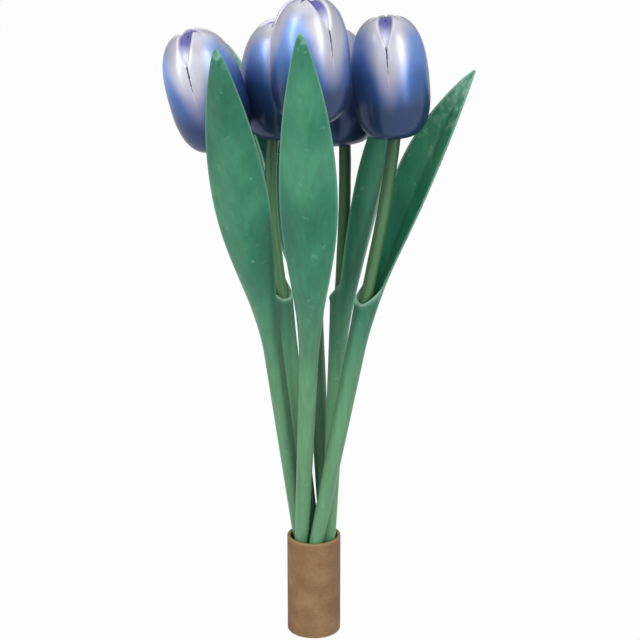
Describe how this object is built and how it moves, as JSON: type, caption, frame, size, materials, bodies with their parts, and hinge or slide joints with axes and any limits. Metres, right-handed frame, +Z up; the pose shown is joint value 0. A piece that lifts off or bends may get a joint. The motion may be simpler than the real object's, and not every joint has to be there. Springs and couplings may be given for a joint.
{
  "type": "wooden tulip bouquet",
  "caption": "Bouquet of painted wooden tulips with turned blue heads, bent stems and carved green leaves, standing in a short cardboard tube.",
  "frame": {"origin": "centre of the cardboard tube's lower end, on the surface that it stands on", "axes": "+Z up along the tube, +X right and +Y back as seen from the front"},
  "size_m": [0.1513, 0.174, 0.3461],
  "materials": {
    "kraft_cardboard": "matte",
    "painted_leaf_wood": "satin",
    "painted_stem_wood": "satin",
    "painted_head_wood": "satin"
  },
  "bodies": {
    "tube": {"cardboard_tube": "kraft_cardboard"},
    "tulip_1": {"tulip_1_leaf": "painted_leaf_wood", "tulip_1_stem": "painted_stem_wood", "tulip_1_head": "painted_head_wood"},
    "tulip_2": {"tulip_2_leaf": "painted_leaf_wood", "tulip_2_stem": "painted_stem_wood", "tulip_2_head": "painted_head_wood"},
    "tulip_3": {"tulip_3_leaf": "painted_leaf_wood", "tulip_3_stem": "painted_stem_wood", "tulip_3_head": "painted_head_wood"},
    "tulip_4": {"tulip_4_leaf": "painted_leaf_wood", "tulip_4_stem": "painted_stem_wood", "tulip_4_head": "painted_head_wood"},
    "tulip_5": {"tulip_5_leaf": "painted_leaf_wood", "tulip_5_stem": "painted_stem_wood", "tulip_5_head": "painted_head_wood"},
    "tulip_6": {"tulip_6_leaf": "painted_leaf_wood", "tulip_6_stem": "painted_stem_wood", "tulip_6_head": "painted_head_wood"}
  },
  "joints": [
    {"name": "tulip_1_lift", "type": "slide", "parent": "tube", "child": "tulip_1", "axis": [-0.1201, -0.1196, 0.9855], "range_m": [0, 0.06]},
    {"name": "tulip_2_lift", "type": "slide", "parent": "tube", "child": "tulip_2", "axis": [-0.1174, 0.0031, 0.9931], "range_m": [0, 0.06]},
    {"name": "tulip_3_lift", "type": "slide", "parent": "tube", "child": "tulip_3", "axis": [0.0369, -0.1772, 0.9835], "range_m": [0, 0.06]},
    {"name": "tulip_4_lift", "type": "slide", "parent": "tube", "child": "tulip_4", "axis": [0.1801, -0.0637, 0.9816], "range_m": [0, 0.06]},
    {"name": "tulip_5_lift", "type": "slide", "parent": "tube", "child": "tulip_5", "axis": [0.0465, 0.0993, 0.994], "range_m": [0, 0.06]},
    {"name": "tulip_6_lift", "type": "slide", "parent": "tube", "child": "tulip_6", "axis": [-0.0549, 0.1373, 0.989], "range_m": [0, 0.06]}
  ]
}
